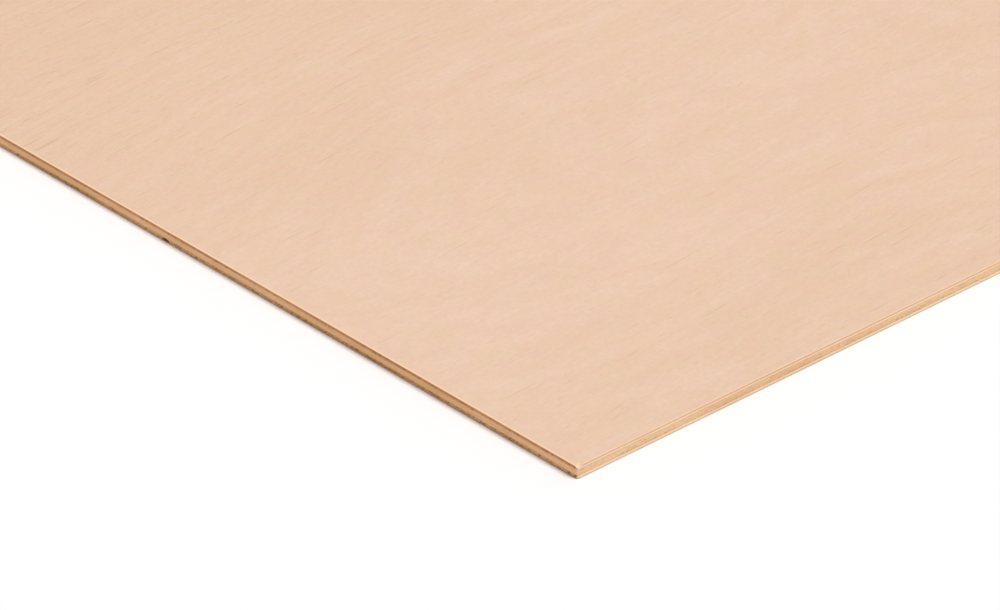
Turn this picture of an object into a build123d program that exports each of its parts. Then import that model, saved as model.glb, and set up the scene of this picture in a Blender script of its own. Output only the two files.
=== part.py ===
from build123d import *
import os

# A sheet of thin plywood in millimetres, lying flat on its back veneer with its face veneer up.
# +X runs along the grain of the face, +Y across it and +Z up. The origin is the middle of the underside.

# Size of the sheet after the trim saw
sheet_length = 1200.0
sheet_width = 600.0

# Thickness of each veneer after pressing, and of the two outer ones after sanding too
face_thickness = 0.9
core_thickness = 1.9
back_thickness = 1.2

# Chamfer that the sander leaves along the outer arrises of the face and back veneers
arris_ease = 0.2

# Open void in the back veneer, where the trim saw cut through a split on the -X end.
# It is placed by its middle and narrows from its mouth on the cut end to its blind end inside the sheet.
void_from_corner = 178.5
void_rise = 0.55
void_depth = 6.0
void_mouth_width = 2.6
void_mouth_height = 0.7
void_blind_width = 1.2
void_blind_height = 0.3

# Heights of the two glue lines
lower_glue_line = back_thickness
upper_glue_line = lower_glue_line + core_thickness

os.makedirs("parts", exist_ok=True)

# Back veneer: grain along the length, arrises eased on the underside, void open to the cut end
with BuildPart() as back_veneer:
    with BuildSketch(Plane.XY):
        Rectangle(sheet_length, sheet_width)
    extrude(amount=back_thickness)
    chamfer(back_veneer.faces().sort_by(Axis.Z).first.edges(), arris_ease)

    void_mouth = Plane(
        origin=(-sheet_length / 2, -sheet_width / 2 + void_from_corner, void_rise),
        x_dir=(0, 1, 0),
        z_dir=(1, 0, 0),
    )
    with BuildSketch(void_mouth):
        Ellipse(void_mouth_width / 2, void_mouth_height / 2)
    with BuildSketch(void_mouth.offset(void_depth)):
        Ellipse(void_blind_width / 2, void_blind_height / 2)
    loft(mode=Mode.SUBTRACT)

# Core veneer: a plain sawn rectangle with its grain across the sheet
with BuildPart() as core_veneer:
    with BuildSketch(Plane.XY.offset(lower_glue_line)):
        Rectangle(sheet_length, sheet_width)
    extrude(amount=core_thickness)

# Face veneer: grain along the length, arrises eased on the sanded upper face
with BuildPart() as face_veneer:
    with BuildSketch(Plane.XY.offset(upper_glue_line)):
        Rectangle(sheet_length, sheet_width)
    extrude(amount=face_thickness)
    chamfer(face_veneer.faces().sort_by(Axis.Z).last.edges(), arris_ease)

back_veneer.part.label = "back_veneer"
core_veneer.part.label = "core_veneer"
face_veneer.part.label = "face_veneer"

export_step(back_veneer.part, "parts/back_veneer.step")
export_step(core_veneer.part, "parts/core_veneer.step")
export_step(face_veneer.part, "parts/face_veneer.step")
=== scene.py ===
import math
import bpy
import numpy as np
from mathutils import Matrix, Vector


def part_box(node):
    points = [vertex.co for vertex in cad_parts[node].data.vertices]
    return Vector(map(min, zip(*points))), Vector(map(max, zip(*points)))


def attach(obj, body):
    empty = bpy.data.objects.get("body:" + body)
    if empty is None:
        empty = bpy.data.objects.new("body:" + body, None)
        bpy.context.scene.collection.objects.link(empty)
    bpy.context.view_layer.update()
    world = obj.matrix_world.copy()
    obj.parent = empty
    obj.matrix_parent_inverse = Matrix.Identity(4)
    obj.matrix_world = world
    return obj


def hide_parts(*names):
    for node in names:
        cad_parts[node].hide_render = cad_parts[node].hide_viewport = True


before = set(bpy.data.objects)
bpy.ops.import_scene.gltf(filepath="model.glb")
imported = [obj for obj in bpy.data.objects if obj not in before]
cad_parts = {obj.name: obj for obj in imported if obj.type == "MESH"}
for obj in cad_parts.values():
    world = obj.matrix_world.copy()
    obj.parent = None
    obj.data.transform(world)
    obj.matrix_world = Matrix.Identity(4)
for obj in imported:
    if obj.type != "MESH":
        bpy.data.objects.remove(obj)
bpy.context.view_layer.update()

# Face veneer
# The upper ply: one sheet of pale hardwood, peeled from a turning log, glued on with its grain along the
# length (+X) and sanded. The trim saw cut its ends across the grain and its sides along it.
MM = 0.001
face_low, face_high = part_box("face_veneer")
half_length, half_width = face_high.x, face_high.y
arris_ease = 0.2 * MM

# A slab is laid in rings, halved again and again towards the middle of each flat face, where nothing shows
cap_step = 2.0 * MM
cap_rings = 7

# Its texture map, in shares of a square: the margin round each part, the height of the lower band, and how
# much of that band the glued face takes beside the edge
map_margin = 0.004
map_split = 0.3
glued_share = 0.4

# What the faces of a slab are finished as, and the number that each face carries for it
edge_finishes = ("Outer face", "Sawn ends", "Sawn sides", "Glued faces")
outer_face, sawn_end, sawn_side, glued_face = range(len(edge_finishes))


def ring(inset, height, along, across):
    """Points round the sheet's rectangle, anticlockwise from its corner at least x and least y."""
    x, y = half_length - inset, half_width - inset
    u = np.arange(along) / along * 2 - 1
    v = np.arange(across) / across * 2 - 1
    plan = np.concatenate([
        np.column_stack([x * u, np.full(along, -y)]),
        np.column_stack([np.full(across, x), y * v]),
        np.column_stack([-x * u, np.full(along, y)]),
        np.column_stack([np.full(across, -x), -y * v]),
    ])
    return np.column_stack([plan, np.full(len(plan), height)])


def veneer_slab(name, low, high, ease_below, ease_above, along, across, rows, strips, cap_boxes, strip_box):
    """A closed slab of one ply, with so many points along each side and across each end, and so many rows up
    its edge. The attribute "cut" numbers its faces by their finish. Its map lays the edge in strips beside
    the lower and the upper flat face."""
    inner = [(cap_step * 2**k, k + 1) for k in range(cap_rings)]
    rings = [(inset, low, halved) for inset, halved in reversed(inner)]
    first_row = len(rings)
    rings += [(ease_below, low, 0)] if ease_below else []
    rings += [(0.0, z, 0) for z in np.linspace(low + ease_below, high - ease_above, rows + 1)]
    rings += [(ease_above, high, 0)] if ease_above else []
    last_row = len(rings) - 1
    rings += [(inset, high, halved) for inset, halved in inner]
    loops = [ring(inset, z, along >> halved, across >> halved) for inset, z, halved in rings]
    start = np.cumsum([0] + [len(points) for points in loops])
    points = np.concatenate(loops)
    faces, cuts, corners = [], [], []

    def on_cap(face_ids, box):
        lower, upper = np.array(box[:2]), np.array(box[2:])
        share = points[face_ids, :2] / (half_length, half_width) / 2 + 0.5
        return lower + share * (upper - lower)

    def add(face_ids, cut, places):
        faces.extend(face_ids.tolist())
        cuts.extend(np.broadcast_to(cut, len(face_ids)).tolist())
        corners.append(places.reshape(-1, 2))

    box_below, box_above = cap_boxes
    cut_below = outer_face if ease_below else glued_face
    cut_above = outer_face if ease_above else glued_face
    bottom = np.arange(start[0], start[1])[::-1][None]
    add(bottom, cut_below, on_cap(bottom, box_below))
    for k in range(len(rings) - 1):
        # The ring that starts at point a is joined to the next one, which starts at b: by quads up the edge,
        # and by five-sided faces where the counts halve
        a, b, na, nb = start[k], start[k + 1], len(loops[k]), len(loops[k + 1])
        j = np.arange(min(na, nb))
        if na == nb:
            ids = np.column_stack([a + j, a + (j + 1) % na, b + (j + 1) % nb, b + j])
            strip, column = np.divmod(j, na // strips)
            u = np.column_stack([column, column + 1, column + 1, column]) / (na // strips)
            u = strip_box[0] + u * (strip_box[2] - strip_box[0])
            row = (np.array([0, 0, 1, 1]) + k - first_row) / (last_row - first_row)
            pitch = (strip_box[3] - strip_box[1]) / strips
            gap = map_margin / pitch
            v = strip_box[1] + pitch * (strip[:, None] + gap / 2 + row * (1 - gap))
            side = (j < along) | ((j >= along + across) & (j < 2 * along + across))
            eased = (ease_below and k == first_row) or (ease_above and k == last_row - 1)
            cut = outer_face if eased else np.where(side, sawn_side, sawn_end)
            add(ids, cut, np.stack([u, v], 2))
        elif na < nb:
            ids = np.column_stack([
                a + j, a + (j + 1) % na, b + (2 * j + 2) % nb, b + 2 * j + 1, b + 2 * j])
            add(ids, cut_below, on_cap(ids, box_below))
        else:
            ids = np.column_stack([
                a + 2 * j, a + 2 * j + 1, a + (2 * j + 2) % na, b + (j + 1) % nb, b + j])
            add(ids, cut_above, on_cap(ids, box_above))
    top = np.arange(start[-2], start[-1])[None]
    add(top, cut_above, on_cap(top, box_above))

    mesh = bpy.data.meshes.new(name)
    mesh.from_pydata(points.tolist(), [], faces)
    map_places = np.concatenate(corners).astype(np.float32)
    mesh.uv_layers.new(name="OFBake").uv.foreach_set("vector", map_places.ravel())
    mesh.attributes.new("cut", "INT", "FACE").data.foreach_set("value", np.array(cuts, np.int32))
    quads = np.array([len(face) == 4 for face in faces])
    mesh.polygons.foreach_set("use_smooth", quads)
    slab = bpy.data.objects.new(name, mesh)
    bpy.context.scene.collection.objects.link(slab)
    return slab


def wire(tree, kind, inputs=(), give=0, **settings):
    """Add one node, set its properties, set or link its inputs by number or name, and give one output."""
    node = tree.nodes.new(kind)
    for key, value in settings.items():
        setattr(node, key, value)
    for key, value in inputs.items() if isinstance(inputs, dict) else enumerate(inputs):
        if isinstance(value, bpy.types.NodeSocket):
            tree.links.new(value, node.inputs[key])
        elif value is not None:
            node.inputs[key].default_value = value
    return node.outputs[give] if node.outputs else None


# Nodes that come again and again, and the settings of a soft ramp and of a mix of two colours. A ramp takes
# its value, the two ends that this runs between and what it gives at each. A mix takes its share at socket
# 0, and what it mixes at 2 and 3 for numbers or at 6 and 7 for colours.
math_node = "ShaderNodeMath"
noise = "ShaderNodeTexNoise"
turn = "ShaderNodeMapping"
ramp = "ShaderNodeMapRange"
mix = "ShaderNodeMix"
soft = {"interpolation_type": "SMOOTHSTEP"}
of_colours = {"give": 2, "data_type": "RGBA"}

# What the trim saw leaves on the four edges: the wander of the cut, the marks of its teeth, torn fibre, the
# slanting checks that peeling opened in the veneer where it is cut across the grain, worn corners, a chip off
# the near corner, and places where the wood is missing. A chip, void or notch with no depth isn't there.
edge_sizes = (
    "Half length", "Half width", "Underside", "Thickness", "Ends cross-cut", "Loose side",
    "Check spacing", "Check width", "Check depth", "Check lean", "Tear size", "Tear depth",
    "Saw wander", "Tooth pitch", "Tooth depth", "Corner reach", "Corner wear",
    "Chip along end", "Chip along side", "Chip depth",
    "Void along", "Void height", "Void width", "Void rise", "Void depth",
    "Notch along", "Notch height", "Notch width", "Notch rise", "Notch depth",
)


def sawn_edge_tree():
    """Draws the edges of a slab in from their planes, stores what the materials read there as the attributes
    check, void and worn, and gives each face its finish."""
    tree = bpy.data.node_groups.new("sawn_edge", "GeometryNodeTree")
    tree.interface.new_socket("Slab", in_out="INPUT", socket_type="NodeSocketGeometry")
    for name in edge_sizes:
        tree.interface.new_socket(name, in_out="INPUT", socket_type="NodeSocketFloat")
    for name in edge_finishes:
        tree.interface.new_socket(name, in_out="INPUT", socket_type="NodeSocketMaterial")
    tree.interface.new_socket("Seed", in_out="INPUT", socket_type="NodeSocketFloat")
    tree.interface.new_socket("Slab", in_out="OUTPUT", socket_type="NodeSocketGeometry")
    given = tree.nodes.new("NodeGroupInput").outputs

    # Where a point lies: its distance from the end and the side, the edge that it is on, how far along that
    # edge and how high in the ply it is, and whether the saw crossed the grain there
    place = wire(tree, "GeometryNodeInputPosition")
    x, y, z = wire(tree, "ShaderNodeSeparateXYZ", [place]).node.outputs
    out_x, out_y = [wire(tree, math_node, [axis], operation="ABSOLUTE") for axis in (x, y)]
    way_x, way_y = [wire(tree, math_node, [axis], operation="SIGN") for axis in (x, y)]
    from_end = wire(tree, math_node, [given["Half length"], out_x], operation="SUBTRACT")
    from_side = wire(tree, math_node, [given["Half width"], out_y], operation="SUBTRACT")
    on_end = wire(tree, math_node, [from_end, cap_step / 2], operation="LESS_THAN")
    on_side = wire(tree, math_node, [from_side, cap_step / 2], operation="LESS_THAN")
    swap = wire(tree, math_node, [y, x], operation="SUBTRACT")
    run = wire(tree, math_node, [on_end, swap, x], operation="MULTIPLY_ADD")
    rise = wire(tree, math_node, [z, given["Underside"]], operation="SUBTRACT")
    crossed = wire(tree, mix, {0: given["Ends cross-cut"], 2: on_side, 3: on_end})

    # Lathe checks: thin slits at uneven steps along the edge, each from the loose side part of the way up.
    # Each edge has its own stretch of steps, and most slits are faint.
    stretch, faintness, least_reach, fade_start = 137.31, 1.6, 0.3, 0.55
    edge_number = wire(tree, math_node, [way_y, given["Seed"]], operation="ADD")
    edge_number = wire(tree, math_node, [way_x, 3.0, edge_number], operation="MULTIPLY_ADD")
    leaning = wire(tree, math_node, [rise, given["Check lean"], run], operation="MULTIPLY_ADD")
    steps = wire(tree, math_node, [leaning, given["Check spacing"]], operation="DIVIDE")
    steps = wire(tree, math_node, [edge_number, stretch, steps], operation="MULTIPLY_ADD")
    slits = wire(tree, "ShaderNodeTexVoronoi", {"W": steps, "Scale": 1.0},
                 voronoi_dimensions="1D").node.outputs
    lot = wire(tree, "FunctionNodeSeparateColor", [slits["Color"]]).node.outputs
    off_slit = wire(tree, math_node, [slits["Distance"], given["Check spacing"]], operation="MULTIPLY")
    slit = wire(tree, ramp, [off_slit, 0.0, given["Check width"], 1.0, 0.0], **soft)
    strength = wire(tree, math_node, [lot[0], faintness], operation="POWER")
    reach = wire(tree, math_node, [lot[1], 1 - least_reach, least_reach], operation="MULTIPLY_ADD")
    fade = wire(tree, math_node, [reach, fade_start], operation="MULTIPLY")
    from_loose = wire(tree, math_node, [z, given["Loose side"]], operation="SUBTRACT")
    from_loose = wire(tree, math_node, [from_loose], operation="ABSOLUTE")
    from_loose = wire(tree, math_node, [from_loose, given["Thickness"]], operation="DIVIDE")
    fading = wire(tree, ramp, [from_loose, fade, reach, 1.0, 0.0], **soft)
    check = slit
    for share in (strength, fading, crossed):
        check = wire(tree, math_node, [check, share], operation="MULTIPLY")

    # Torn fibre, less of it along the grain, the teeth's slanting marks, the slow wander of the cut, and the
    # worn corners of the sheet
    tear_along_grain, tooth_lean, wander_length = 0.35, 0.4, 80.0 * MM
    fineness = wire(tree, math_node, [1.0, given["Tear size"]], operation="DIVIDE")
    tear = wire(tree, noise, {"Vector": place, "Scale": fineness, "Detail": 1.0})
    torn = wire(tree, math_node, [tear, given["Tear depth"]], operation="MULTIPLY")
    deep = wire(tree, math_node, [crossed, 1 - tear_along_grain, tear_along_grain], operation="MULTIPLY_ADD")
    torn = wire(tree, math_node, [torn, deep], operation="MULTIPLY")
    tooth = wire(tree, math_node, [rise, tooth_lean, run], operation="MULTIPLY_ADD")
    tooth = wire(tree, math_node, [tooth, given["Tooth pitch"]], operation="DIVIDE")
    tooth = wire(tree, math_node, [tooth, math.tau], operation="MULTIPLY")
    tooth = wire(tree, math_node, [tooth], operation="COSINE")
    tooth = wire(tree, math_node, [tooth, 0.5, 0.5], operation="MULTIPLY_ADD")
    tooth_mark = wire(tree, math_node, [tooth, given["Tooth depth"]], operation="MULTIPLY")
    drift = wire(tree, noise, {"Vector": place, "Scale": 1 / wander_length, "Detail": 1.0})
    saw_cut = wire(tree, math_node, [drift, given["Saw wander"], tooth_mark], operation="MULTIPLY_ADD")
    inward = wire(tree, math_node, [torn, saw_cut], operation="ADD")
    inward = wire(tree, math_node, [check, given["Check depth"], inward], operation="MULTIPLY_ADD")
    off_corner = wire(tree, math_node, [from_end, from_side], operation="ADD")
    worn = wire(tree, ramp, [off_corner, 0.0, given["Corner reach"], 1.0, 0.0], **soft)
    corner = wire(tree, math_node, [worn, given["Corner wear"]], operation="MULTIPLY")

    # Chip off the corner at least x and least y: its upper arrises are broken down to an uneven line
    chip_uneven, chip_floor, chip_rim = 0.5, 0.55, 1.1
    least_x, least_y = [wire(tree, math_node, [axis, 0.0], operation="LESS_THAN") for axis in (x, y)]
    there = wire(tree, math_node, [given["Chip depth"], 0.0], operation="GREATER_THAN")
    away_x = wire(tree, math_node, [from_end, given["Chip along side"]], operation="DIVIDE")
    away_y = wire(tree, math_node, [from_side, given["Chip along end"]], operation="DIVIDE")
    away = wire(tree, "ShaderNodeCombineXYZ", [away_x, away_y])
    away = wire(tree, "ShaderNodeVectorMath", [away], give="Value", operation="LENGTH")
    away = wire(tree, math_node, [tear, chip_uneven, away], operation="MULTIPLY_ADD")
    chip = wire(tree, ramp, [away, chip_floor, chip_rim, 1.0, 0.0], **soft)
    for share in (least_x, least_y, there):
        chip = wire(tree, math_node, [chip, share], operation="MULTIPLY")
    worn = wire(tree, math_node, [worn, chip], operation="MAXIMUM")
    drop = wire(tree, math_node, [rise, given["Thickness"]], operation="DIVIDE")
    drop = wire(tree, math_node, [drop, given["Chip depth"]], operation="MULTIPLY")
    drop = wire(tree, math_node, [drop, chip], operation="MULTIPLY")

    # Open places on the -X end: an uneven, rounded slot with a blind pocket behind it. Painted shade darkens
    # its mouth, the more the deeper it goes.
    slot_uneven, slot_floor, slot_rim, dark_depth = 0.4, 0.9, 1.1, 4.0 * MM
    left_end = wire(tree, math_node, [on_end, least_x], operation="MULTIPLY")
    void, pocket = 0.0, 0.0
    for hole in ("Void", "Notch"):
        squares = []
        for spot, middle, size in ((y, " along", " width"), (rise, " height", " rise")):
            off_middle = wire(tree, math_node, [spot, given[hole + middle]], operation="SUBTRACT")
            half = wire(tree, math_node, [given[hole + size], 0.5], operation="MULTIPLY")
            off_middle = wire(tree, math_node, [off_middle, half], operation="DIVIDE")
            squares.append(wire(tree, math_node, [off_middle, 2.0], operation="POWER"))
        slot = wire(tree, "ShaderNodeCombineXYZ", squares)
        slot = wire(tree, "ShaderNodeVectorMath", [slot], give="Value", operation="LENGTH")
        slot = wire(tree, math_node, [slot], operation="SQRT")
        slot = wire(tree, math_node, [slot, -slot_uneven / 2], operation="ADD")
        slot = wire(tree, math_node, [tear, slot_uneven, slot], operation="MULTIPLY_ADD")
        mouth = wire(tree, ramp, [slot, slot_floor, slot_rim, 1.0, 0.0], **soft)
        there = wire(tree, math_node, [given[hole + " depth"], 0.0], operation="GREATER_THAN")
        for share in (left_end, there):
            mouth = wire(tree, math_node, [mouth, share], operation="MULTIPLY")
        pocket_shade = wire(tree, ramp, [given[hole + " depth"], 0.0, dark_depth, 0.0, 1.0])
        pocket_shade = wire(tree, math_node, [mouth, pocket_shade], operation="MULTIPLY")
        void = wire(tree, math_node, [pocket_shade, void], operation="MAXIMUM")
        pocket = wire(tree, math_node, [mouth, given[hole + " depth"], pocket], operation="MULTIPLY_ADD")

    # Everything together, as a move of each point
    end_in = wire(tree, math_node, [inward, on_end, corner], operation="MULTIPLY_ADD")
    end_in = wire(tree, math_node, [end_in, way_x], operation="MULTIPLY")
    side_in = wire(tree, math_node, [inward, on_side, corner], operation="MULTIPLY_ADD")
    side_in = wire(tree, math_node, [side_in, way_y], operation="MULTIPLY")
    move_x = wire(tree, math_node, [pocket, end_in], operation="SUBTRACT")
    move_y = wire(tree, math_node, [side_in, -1.0], operation="MULTIPLY")
    move_z = wire(tree, math_node, [drop, -1.0], operation="MULTIPLY")
    move = wire(tree, "ShaderNodeCombineXYZ", [move_x, move_y, move_z])
    shape = given["Slab"]
    for name, value in (("check", check), ("void", void), ("worn", worn)):
        shape = wire(tree, "GeometryNodeStoreNamedAttribute",
                     {"Geometry": shape, "Name": name, "Value": value}, data_type="FLOAT", domain="POINT")
    shape = wire(tree, "GeometryNodeSetPosition", {"Geometry": shape, "Offset": move})
    shape = wire(tree, "GeometryNodeRealizeInstances", [shape])
    cut = wire(tree, "GeometryNodeInputNamedAttribute", {"Name": "cut"}, data_type="INT")
    for number, name in enumerate(edge_finishes):
        chosen = wire(tree, "FunctionNodeCompare", {"A": cut, "B": number}, data_type="INT",
                      operation="EQUAL")
        shape = wire(tree, "GeometryNodeSetMaterial",
                     {"Geometry": shape, "Selection": chosen, "Material": given[name]})
    wire(tree, "NodeGroupOutput", [shape])
    return tree


sawn_edge = sawn_edge_tree()


def saw(slab, values):
    """Give a slab its sawn edges and its finishes, and leave it a plain mesh."""
    cut = slab.modifiers.new("sawn_edge", "NODES")
    cut.node_group = sawn_edge
    for item in sawn_edge.interface.items_tree:
        if item.in_out == "INPUT" and item.name in values:
            cut[item.identifier] = values[item.name]
    drawn = slab.evaluated_get(bpy.context.evaluated_depsgraph_get())
    mesh = bpy.data.meshes.new_from_object(drawn)
    slab.modifiers.clear()
    slab.data = mesh
    mesh.name = slab.name


def linear(code):
    """Scene colour of an sRGB hex value."""
    channels = [int(code[i:i + 2], 16) / 255 for i in (1, 3, 5)]
    return (*[c / 12.92 if c <= 0.04045 else ((c + 0.055) / 1.055) ** 2.4 for c in channels], 1.0)


def bare_wood(tree, colour, specular, roughness, relief, relief_depth):
    """Unsealed wood: its colour and a dull sheen, with relief that is too fine for the mesh."""
    shader = tree.nodes["Principled BSDF"]
    shader.inputs["IOR"].default_value = 1.5
    shader.inputs["Specular IOR Level"].default_value = specular
    bump = wire(tree, "ShaderNodeBump", {"Height": relief, "Distance": relief_depth, "Strength": 0.6})
    for name, value in (("Base Color", colour), ("Roughness", roughness), ("Normal", bump)):
        tree.links.new(value, shader.inputs[name])


# Height at which flat patterns are cut out of the noise, off its lattice, on which it would be weaker
noise_level = 0.43


def sanded_veneer(name, pale, honey, blush, rosy, cream, pore, painted_arris_band, arris_line, slide, heart):
    """Rotary-peeled hardwood, dry sanded and unsealed. The peel runs round the log's rings, so the figure is
    straight streaks where it crosses them and wide swirls where it runs along them. Fine pores make short
    dark dashes along the grain, and the sanded fibre is dull with no polish. Both in mm, slide is where the
    sheet lies in the peel, and heart is the place across the peel at which the knife was deepest."""
    material = bpy.data.materials.new(name)
    material.use_nodes = True
    tree = material.node_tree
    place = wire(tree, "ShaderNodeTexCoord", give="Object")
    mm = wire(tree, turn, {"Vector": place, "Location": slide, "Scale": (1 / MM,) * 3})
    x, y = wire(tree, "ShaderNodeSeparateXYZ", [mm]).node.outputs[:2]

    # The log was bowed, so the grain leaves the sheet's length by up to 6 degrees, and strays a little
    # besides. Each row of fibre starts at its own place. All of these sizes are in mm.
    bow_length, bow_reach = 430.0, 45.0
    stray_length, stray_width, stray_reach = 230.0, 130.0, 26.0
    row_width, row_slip = 2.3, 60.0
    bow = wire(tree, math_node, [x, bow_length], operation="DIVIDE")
    bow = wire(tree, math_node, [bow], operation="SINE")
    y_log = wire(tree, math_node, [bow, -bow_reach, y], operation="MULTIPLY_ADD")
    stray = wire(tree, turn, {"Vector": mm, "Scale": (1 / stray_length, 1 / stray_width, 0)})
    stray = wire(tree, noise, {"Vector": stray, "Scale": 1.0, "Detail": 1.0})
    y_grain = wire(tree, math_node, [stray, stray_reach, y_log], operation="MULTIPLY_ADD")
    row = wire(tree, math_node, [y_grain, row_width], operation="DIVIDE")
    row = wire(tree, noise, {"W": row, "Scale": 1.0, "Detail": 0.0}, noise_dimensions="1D")
    x_grain = wire(tree, math_node, [row, row_slip, x], operation="MULTIPLY_ADD")
    grain = wire(tree, "ShaderNodeCombineXYZ", [x_grain, y_grain])

    # Each pattern's length along the grain and width across it in mm, with its detail
    fields = {}
    for field, source, length, width, detail in (
            ("lumps", mm, 260.0, 170.0, 0.5), ("ripple", mm, 36.0, 9.0, 1.0),
            ("patch", mm, 190.0, 90.0, 1.0), ("mottle", mm, 14.0, 7.0, 2.0),
            ("spot", mm, 5.5, 5.0, 2.0), ("speck", mm, 1.5, 1.1, 2.0),
            ("stain", grain, 11.0, 3.0, 2.0), ("streak", grain, 20.0, 1.6, 2.0),
            ("fleck", grain, 3.2, 0.8, 2.0), ("fibre", grain, 1.6, 0.45, 1.0)):
        along = wire(tree, turn, {"Vector": source, "Location": (0.0, 0.0, noise_level),
                                  "Scale": (1 / length, 1 / width, 0)})
        fields[field] = wire(tree, noise, {"Vector": along, "Scale": 1.0, "Detail": detail})

    # Growth rings, by how deep in mm the knife lies in a tapering, lumpy log that is peeled off centre
    log_radius, off_centre_depth, taper, lump_depth, ripple_depth = 130.0, 150.0, 0.15, 100.0, 7.0
    ring_length, ring_width = 45.0, 3.4
    turned = wire(tree, math_node, [y_log, heart], operation="SUBTRACT")
    turned = wire(tree, math_node, [turned, log_radius], operation="DIVIDE")
    off_centre = wire(tree, math_node, [turned], operation="COSINE")
    depth = wire(tree, math_node, [off_centre, off_centre_depth], operation="MULTIPLY")
    for field, reach in ((x, taper), (fields["lumps"], lump_depth), (fields["ripple"], ripple_depth)):
        depth = wire(tree, math_node, [field, reach, depth], operation="MULTIPLY_ADD")
    ring_x = wire(tree, math_node, [x, ring_length], operation="DIVIDE")
    ring_y = wire(tree, math_node, [depth, ring_width], operation="DIVIDE")
    rings = wire(tree, "ShaderNodeCombineXYZ", [ring_x, ring_y, noise_level])
    rings = wire(tree, noise, {"Vector": rings, "Scale": 1.0, "Detail": 2.5, "Roughness": 0.6})
    sapwood = wire(tree, math_node, [off_centre, -0.5, 0.5], operation="MULTIPLY_ADD")

    # Tone from pale to honey: streaks along the grain, fainter where the peel runs along the rings, and then
    # the rings and the rest
    mean_tone, along_rings, across_rings = 0.6, 0.65, 1.1
    stain = wire(tree, ramp, [fields["stain"], 0.5, 0.75, 0.45, 1.0], **soft)
    streaks = 0.0
    for field, weight in (
            (stain, 0.36), (fields["streak"], 0.22), (fields["fleck"], 0.36), (fields["fibre"], 0.2)):
        level = wire(tree, math_node, [field, -0.5], operation="ADD")
        streaks = wire(tree, math_node, [level, weight, streaks], operation="MULTIPLY_ADD")
    crossing = wire(tree, ramp, [sapwood, 0.0, 0.4, along_rings, across_rings])
    tone = wire(tree, math_node, [streaks, crossing, mean_tone], operation="MULTIPLY_ADD")
    for field, weight in (
            (rings, 0.64), (fields["speck"], 0.66), (fields["mottle"], 0.46), (fields["patch"], -0.4),
            (sapwood, 0.42)):
        level = wire(tree, math_node, [field, -0.5], operation="ADD")
        tone = wire(tree, math_node, [level, weight, tone], operation="MULTIPLY_ADD")
    wood = wire(tree, mix, {0: tone, 6: linear(pale), 7: linear(honey)}, **of_colours)

    # Soft blush over wide patches, and rosy and cream spots a few mm across
    for field, first, last, share, colour in (
            ("mottle", 0.35, 0.7, 0.35, blush), ("spot", 0.5, 0.8, 0.6, rosy),
            ("spot", 0.5, 0.2, 0.6, cream)):
        tint = wire(tree, ramp, [fields[field], first, last, 0.0, share])
        wood = wire(tree, mix, {0: tint, 6: wood, 7: linear(colour)}, **of_colours)

    # Pores, as dashes of three lengths in mm with the width of their rows, the share left out and how dark
    # they are. They are drawn wider than real ones so that they show, and fade where the peel runs along the
    # rings.
    widest_pore, faded_pore, pore_dip = 0.45, 0.55, 0.6
    relief = fields["fleck"]
    for length, width, left_out, darkness in (
            (2.6, 0.55, 0.9, 0.5), (7.0, 0.55, 0.945, 0.6), (24.0, 0.6, 0.972, 0.75)):
        cells = wire(tree, turn, {"Vector": grain, "Scale": (1 / length, 1 / width, 0)})
        cells = wire(tree, "ShaderNodeTexVoronoi", {"Vector": cells, "Scale": 1.0},
                     voronoi_dimensions="2D").node.outputs
        lot = wire(tree, "ShaderNodeSeparateColor", [cells["Color"]])
        size = wire(tree, ramp, [lot, left_out, 1.0, 0.0, widest_pore])
        dash = wire(tree, ramp, [cells["Distance"], 0.0, size, 1.0, 0.0], **soft)
        dark = wire(tree, ramp, [sapwood, 0.0, 0.6, faded_pore * darkness, darkness])
        dark = wire(tree, math_node, [dash, dark], operation="MULTIPLY")
        wood = wire(tree, mix, {0: dark, 6: wood, 7: linear(pore)}, **of_colours)
        relief = wire(tree, math_node, [dash, -pore_dip, relief], operation="MULTIPLY_ADD")

    # Arrises, by their inset in mm: a band with a thin line outside it. On the face the band is a pale
    # painted
    #     # highlight and the line is thin and red-brown. On the back, whose arrises meet the floor, both are
    #     painted
    #     # shade. Worn corners are paler still.
    own_x, own_y = wire(tree, "ShaderNodeSeparateXYZ", [place]).node.outputs[:2]
    for axis, half, first, last, share, colour in (
            (own_x, half_length, 0.35, 0.95, 1.0, painted_arris_band),
            (own_x, half_length, 0.04, 0.24, 0.75, arris_line),
            (own_y, half_width, 0.45, 1.1, 0.45, painted_arris_band),
            (own_y, half_width, 0.1, 0.34, 0.85, arris_line)):
        inset = wire(tree, math_node, [axis], operation="ABSOLUTE")
        inset = wire(tree, math_node, [half, inset], operation="SUBTRACT")
        rubbed = wire(tree, ramp, [inset, first * MM, last * MM, share, 0.0], **soft)
        wood = wire(tree, mix, {0: rubbed, 6: wood, 7: linear(colour)}, **of_colours)
    worn_colour, worn_share = "#FBDDB8", 0.7
    worn = wire(tree, "ShaderNodeAttribute", give="Fac", attribute_name="worn")
    worn = wire(tree, math_node, [worn, worn_share], operation="MULTIPLY")
    wood = wire(tree, mix, {0: worn, 6: wood, 7: linear(worn_colour)}, **of_colours)

    smoothest, roughest = 0.6, 0.72
    rough = wire(tree, ramp, [fields["streak"], 0.2, 0.8, smoothest, roughest])
    bare_wood(tree, wood, specular=0.25, roughness=rough, relief=relief, relief_depth=0.02 * MM)
    return material


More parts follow.
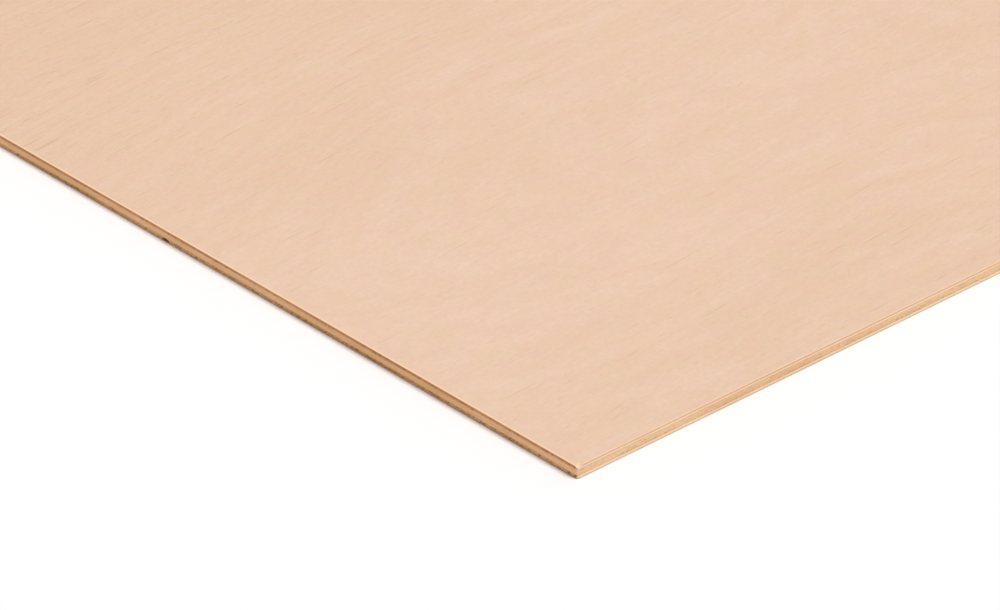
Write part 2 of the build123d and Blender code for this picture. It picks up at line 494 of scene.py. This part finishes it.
def sawn_edge_wood(name, wood, shade, fleck, fleck_share, check_share, along_grain, glue_lines, arris_darkening=None):
    """The trim saw's cut through one ply. Along the grain it shows long pale fibre with fine streaks. Across
    the grain it shows the fibres' dark open ends, the checks between them and soft darker patches. A thin
    brown film of glue stains the wood where the plies meet. A darker band runs along the outer arris: painted
    shade on the back ply, where it meets the floor, and on the face a dark band below the top arris of its
    ends and a thin line at that of its sides. An arris darkening is a height, a width in mm, a share and a
    colour."""
    material = bpy.data.materials.new(name)
    material.use_nodes = True
    tree = material.node_tree
    place = wire(tree, "ShaderNodeTexCoord", give="Object")
    mm = wire(tree, turn, {"Vector": place, "Scale": (1 / MM,) * 3})
    x, y, z = wire(tree, "ShaderNodeSeparateXYZ", [mm]).node.outputs
    run = wire(tree, math_node, [x, y], operation="ADD")
    edge = wire(tree, "ShaderNodeCombineXYZ", [run, z])

    # Each pattern's length along the edge and height in mm, with its detail
    if along_grain:
        fibre_size, fleck_size, speck_weight = (26.0, 0.32), (9.0, 0.4), 0.9
    else:
        fibre_size, fleck_size, speck_weight = (0.9, 0.5), (1.6, 0.6), 0.2
    fields = {}
    for field, (length, height), detail in (
            ("fibre", fibre_size, 3.0), ("fleck", fleck_size, 2.0), ("speck", (1.3, 0.6), 2.0),
            ("patch", (30.0, 6.0), 2.0), ("film", (3.0, 3.0), 1.0)):
        along = wire(tree, turn, {"Vector": edge, "Location": (0.0, 0.0, noise_level),
                                  "Scale": (1 / length, 1 / height, 0)})
        fields[field] = wire(tree, noise, {"Vector": along, "Scale": 1.0, "Detail": detail})

    # The wood and its flecks
    tone = 0.5
    for field, weight in (("fibre", 0.7), ("speck", speck_weight), ("patch", 2.2)):
        level = wire(tree, math_node, [fields[field], -0.5], operation="ADD")
        tone = wire(tree, math_node, [level, weight, tone], operation="MULTIPLY_ADD")
    tone = wire(tree, "ShaderNodeClamp", [tone])
    cut = wire(tree, mix, {0: tone, 6: linear(wood), 7: linear(shade)}, **of_colours)
    flecked = wire(tree, ramp, [fields["fleck"], 0.5, 0.7, 0.0, fleck_share], **soft)
    cut = wire(tree, mix, {0: flecked, 6: cut, 7: linear(fleck)}, **of_colours)

    # The glue film, which soaks in unevenly, and the darker band along the outer arris, which on the back ply
    # is painted shade
    glue_stain, glue_share = "#A8744A", 0.35
    glue_reach = wire(tree, ramp, [fields["film"], 0.3, 0.7, 0.04, 0.13])
    lines = [(height, glue_reach, glue_share, glue_stain) for height in glue_lines]
    if arris_darkening:
        lines.append(arris_darkening)
    for height, width, share, colour in lines:
        off_line = wire(tree, math_node, [z, height / MM], operation="SUBTRACT")
        off_line = wire(tree, math_node, [off_line], operation="ABSOLUTE")
        band = wire(tree, ramp, [off_line, 0.0, width, share, 0.0], **soft)
        cut = wire(tree, mix, {0: band, 6: cut, 7: linear(colour)}, **of_colours)

    # Pale worn corners, dark checks, and the dark red-brown mouths of open places: stained wood with painted
    # shade over it
    for attribute, full, share, colour in (
            ("worn", 1.0, 0.45, "#FBD8B2"), ("check", 0.7, check_share, fleck),
            ("void", 0.15, 0.98, "#5A1C00")):
        mask = wire(tree, "ShaderNodeAttribute", give="Fac", attribute_name=attribute)
        mask = wire(tree, ramp, [mask, 0.0, full, 0.0, share])
        cut = wire(tree, mix, {0: mask, 6: cut, 7: linear(colour)}, **of_colours)

    smoothest, roughest = 0.7, 0.85
    rough = wire(tree, ramp, [fields["fibre"], 0.2, 0.8, smoothest, roughest])
    bare_wood(tree, cut, specular=0.2, roughness=rough, relief=fields["fibre"], relief_depth=0.05 * MM)
    return material


def glued_veneer(name, pale, brown, cloud_size):
    """The inner faces: peeled veneer soaked by a film of cured urea glue, brownish and a little shiny."""
    material = bpy.data.materials.new(name)
    material.use_nodes = True
    tree = material.node_tree
    place = wire(tree, "ShaderNodeTexCoord", give="Object")
    cloud = wire(tree, noise, {"Vector": place, "Scale": 1 / cloud_size, "Detail": 2.0})
    film = wire(tree, mix, {0: cloud, 6: linear(pale), 7: linear(brown)}, **of_colours)
    shader = tree.nodes["Principled BSDF"]
    tree.links.new(film, shader.inputs["Base Color"])
    shader.inputs["Roughness"].default_value = 0.45
    return material


# What all three plies share: the glue, the heights where they meet, the saw, and the parts of the map
glue_film = glued_veneer("urea_glue_film_on_veneer", "#D6B287", "#C7A074", 60.0 * MM)
upper_glue_line = face_low.z
lower_glue_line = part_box("core_veneer")[0].z
trim_saw = {
    "Half length": half_length, "Half width": half_width, "Saw wander": 0.08 * MM, "Tooth pitch": 2.4 * MM,
    "Tooth depth": 0.02 * MM, "Tear size": 0.45 * MM, "Corner reach": 0.9 * MM, "Corner wear": 0.16 * MM,
    "Glued faces": glue_film,
}
flat_box = (map_margin, map_split + map_margin, 1 - map_margin, 1 - map_margin)
glued_box = (map_margin, map_margin, glued_share - map_margin, map_split - map_margin)
edge_box = (glued_share + map_margin, map_margin, 1 - map_margin, map_split - map_margin)

# Points lie closest on the edges that are cut across the grain, and their counts can be halved for every ring
face = veneer_slab(
    "face_ply", face_low.z, face_high.z, ease_below=0.0, ease_above=arris_ease, along=2048, across=2048,
    rows=5, strips=16, cap_boxes=(glued_box, flat_box), strip_box=edge_box)
saw(face, {
    **trim_saw, "Underside": face_low.z, "Thickness": face_high.z - face_low.z, "Ends cross-cut": 1.0,
    "Loose side": face_low.z, "Check spacing": 1.7 * MM, "Check width": 0.32 * MM, "Check depth": 0.3 * MM,
    "Check lean": 0.8, "Tear depth": 0.06 * MM, "Seed": 11.0,
    "Chip along end": 1.0 * MM, "Chip along side": 2.6 * MM, "Chip depth": 0.4 * MM,
    # The face's arris band is a pale painted highlight, with a thin red-brown arris line outside it
    "Outer face": sanded_veneer(
        "sanded_peeled_hardwood_face", pale="#F1D1BC", honey="#DDB997", blush="#F1CAB2", rosy="#EAC2AD",
        cream="#E6CAA6", pore="#B5845E", painted_arris_band="#FFD8B0", arris_line="#C08A70",
        slide=(600.0, 300.0, 0.0), heart=90.0),
    # Its colours carry painted light: a warm bounce, as off tan wood beneath the sheet
    "Sawn ends": sawn_edge_wood(
        "sawn_end_grain_of_face", wood="#F1AE7C", shade="#DC925F", fleck="#96593A", fleck_share=0.4,
        check_share=0.3, along_grain=False, glue_lines=(upper_glue_line,),
        arris_darkening=(face_high.z, 0.66, 1.0, "#A85A2C")),
    "Sawn sides": sawn_edge_wood(
        "sawn_long_grain_of_face", wood="#FBDABA", shade="#F2CCA6", fleck="#E0B48C", fleck_share=0.35,
        check_share=0.0, along_grain=True, glue_lines=(upper_glue_line,),
        arris_darkening=(face_high.z, 0.6, 0.75, "#C08A70")),
})
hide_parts("face_veneer")
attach(face, "root")

# Core veneer
# The middle ply: one thicker sheet of paler, softer wood, peeled and laid with its grain across the sheet.
# Only its four sawn edges show: fibre ends along the sides, and long fibre at the ends.
core_low, core_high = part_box("core_veneer")
core_split = 0.2
core_boxes = (
    (map_margin, map_margin, 0.5 - map_margin, core_split),
    (0.5, map_margin, 1 - map_margin, core_split),
)
core_edge_box = (map_margin, core_split + map_margin, 1 - map_margin, 1 - map_margin)
core = veneer_slab(
    "core_ply", core_low.z, core_high.z, ease_below=0.0, ease_above=0.0, along=3072, across=768,
    rows=8, strips=24, cap_boxes=core_boxes, strip_box=core_edge_box)
saw(core, {
    **trim_saw, "Underside": core_low.z, "Thickness": core_high.z - core_low.z, "Ends cross-cut": 0.0,
    "Loose side": core_low.z, "Check spacing": 1.9 * MM, "Check width": 0.5 * MM, "Check depth": 0.14 * MM,
    "Check lean": -0.7, "Tear depth": 0.08 * MM, "Seed": 23.0,
    "Outer face": glue_film,
    # Its colours carry painted light: a warm bounce, as off tan wood beneath the sheet
    "Sawn ends": sawn_edge_wood(
        "sawn_long_grain_of_core", wood="#FFCC9F", shade="#EDBA82", fleck="#CC9868", fleck_share=0.35,
        check_share=0.0, along_grain=True, glue_lines=(upper_glue_line, lower_glue_line)),
    "Sawn sides": sawn_edge_wood(
        "sawn_end_grain_of_core", wood="#EAC59E", shade="#DDB289", fleck="#B5936E", fleck_share=0.42,
        check_share=0.3, along_grain=False, glue_lines=(upper_glue_line, lower_glue_line)),
})
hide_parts("core_veneer")
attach(core, "root")

# Back veneer
# The lower ply: peeled and sanded like the face, and lying on the floor. Peeling split it in one place, and
# the trim saw opened that split on the -X end as a small dark void. A knock left a notch beside the corner.
back_low, back_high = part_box("back_veneer")
void_from_corner = 178.5 * MM
notch_from_corner = 1.05 * MM
back = veneer_slab(
    "back_ply", back_low.z, back_high.z, ease_below=arris_ease, ease_above=0.0, along=2048, across=2048,
    rows=7, strips=16, cap_boxes=(flat_box, glued_box), strip_box=edge_box)
saw(back, {
    **trim_saw, "Underside": back_low.z, "Thickness": back_high.z - back_low.z, "Ends cross-cut": 1.0,
    "Loose side": back_high.z, "Check spacing": 1.5 * MM, "Check width": 0.55 * MM, "Check depth": 0.2 * MM,
    "Check lean": 0.8, "Tear depth": 0.08 * MM, "Seed": 37.0,
    "Void along": -half_width + void_from_corner, "Void height": 0.58 * MM, "Void width": 2.8 * MM,
    "Void rise": 0.66 * MM, "Void depth": 6.0 * MM,
    "Notch along": -half_width + notch_from_corner, "Notch height": 0.75 * MM, "Notch width": 0.75 * MM,
    "Notch rise": 0.9 * MM, "Notch depth": 0.25 * MM,
    # The back's arris band and arris line are painted shade along the underside, where it meets the floor
    "Outer face": sanded_veneer(
        "sanded_peeled_hardwood_back", pale="#EDC9AC", honey="#DBB28E", blush="#EFC3A6", rosy="#E5BA9E",
        cream="#E2C199", pore="#A0744E", painted_arris_band="#C08A5C", arris_line="#B07848",
        slide=(2150.0, 1730.0, 0.0), heart=1800.0),
    # Its colours carry painted light: a warm bounce, as off tan wood beneath the sheet
    "Sawn ends": sawn_edge_wood(
        "sawn_end_grain_of_back", wood="#F2B67E", shade="#D0905A", fleck="#744622", fleck_share=0.58,
        check_share=0.58, along_grain=False, glue_lines=(lower_glue_line,),
        # Painted shade along the bottom arris, where the ply meets the floor
        arris_darkening=(back_low.z, 0.8, 0.5, "#A8703C")),
    "Sawn sides": sawn_edge_wood(
        "sawn_long_grain_of_back", wood="#F6D6B4", shade="#EDC8A2", fleck="#DAAE84", fleck_share=0.35,
        check_share=0.0, along_grain=True, glue_lines=(lower_glue_line,),
        # Painted shade along the bottom arris, where the ply meets the floor
        arris_darkening=(back_low.z, 0.5, 0.8, "#B07848")),
})
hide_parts("back_veneer")
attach(back, "root")

# Floor, light and camera
# A wide white studio floor under an even white sky, with one large soft lamp high on the right, and the
# camera above the sheet's near corner.
floor_half = 60.0
floor_corners = [(floor_half * x, floor_half * y, 0) for x, y in ((-1, -1), (1, -1), (1, 1), (-1, 1))]
floor_mesh = bpy.data.meshes.new("studio_floor")
floor_mesh.from_pydata(floor_corners, [], [(0, 1, 2, 3)])
floor = bpy.data.objects.new("studio_floor", floor_mesh)
bpy.context.scene.collection.objects.link(floor)


def looked_at(tree):
    """1 for what the camera sees and what shines back in gloss, 0 for the light on the sheet."""
    path = wire(tree, "ShaderNodeLightPath").node.outputs
    return wire(tree, math_node, [path["Is Camera Ray"], path["Is Glossy Ray"]], operation="MAXIMUM")


# Matt paper, which keeps the sheet's shadow: it looks pure white, and throws a little less back on the sheet
paper_light, paper_white = 0.88, 1.0
paper = bpy.data.materials.new("matt_white_paper")
paper.use_nodes = True
paper_tree = paper.node_tree
paper_tree.nodes.clear()
tint = wire(paper_tree, ramp, [looked_at(paper_tree), 0.0, 1.0, paper_light, paper_white])
matt = wire(paper_tree, "ShaderNodeBsdfDiffuse", [tint])
wire(paper_tree, "ShaderNodeOutputMaterial", [matt])
floor_mesh.materials.append(paper)

# The sky looks pure white too. Its light and the lamp's make up 1 on a level face, so that a colour renders
# as it is written.
sky_light, sky_white = 0.45, 1.0
world = bpy.data.worlds.new("even_white_sky")
bpy.context.scene.world = world
world.use_nodes = True
sky_tree = world.node_tree
strength = wire(sky_tree, ramp, [looked_at(sky_tree), 0.0, 1.0, sky_light, sky_white])
sky_tree.nodes["Background"].inputs["Color"].default_value = linear("#FFFFFF")
sky_tree.links.new(strength, sky_tree.nodes["Background"].inputs["Strength"])

lamp_way = Vector((0.12, -0.33, 0.55)).normalized()
lamp_light = 0.55
lamp_spread = math.radians(28)
lamp_data = bpy.data.lights.new("large_soft_lamp", "SUN")
lamp_data.energy = lamp_light * math.pi / lamp_way.z
lamp_data.angle = lamp_spread
lamp = bpy.data.objects.new("large_soft_lamp", lamp_data)
lamp.rotation_euler = lamp_way.to_track_quat("Z", "Y").to_euler()
bpy.context.scene.collection.objects.link(lamp)

# The camera is placed by the near corner of the face, by where it falls in the picture and how far off it is
picture_width, picture_height = 1000, 610
corner_px = (577.47, 467.53)
near_corner = Vector((-half_length, -half_width, face_high.z))
near_depth = 1.22195
azimuth, elevation = math.radians(42.166), math.radians(29.892)
lens_data = bpy.data.cameras.new("camera")
lens_data.lens = 163.0
lens_data.sensor_width = 36.0
lens_data.clip_start, lens_data.clip_end = 0.05, 500.0
focal_px = lens_data.lens / lens_data.sensor_width * picture_width
level_x, level_y = math.sin(azimuth) * math.cos(elevation), math.cos(azimuth) * math.cos(elevation)
ahead = Vector((level_x, level_y, -math.sin(elevation)))
right = Vector((math.cos(azimuth), -math.sin(azimuth), 0))
up = right.cross(ahead)
off_right = (corner_px[0] - picture_width / 2) / focal_px
off_up = (picture_height / 2 - corner_px[1]) / focal_px
sight = ahead + right * off_right + up * off_up
facing = Matrix((right, up, -ahead)).transposed().to_4x4()
camera = bpy.data.objects.new("camera", lens_data)
camera.matrix_world = Matrix.Translation(near_corner - sight * near_depth) @ facing
bpy.context.scene.collection.objects.link(camera)
bpy.context.scene.camera = camera
bpy.context.scene.view_settings.view_transform = "Standard"
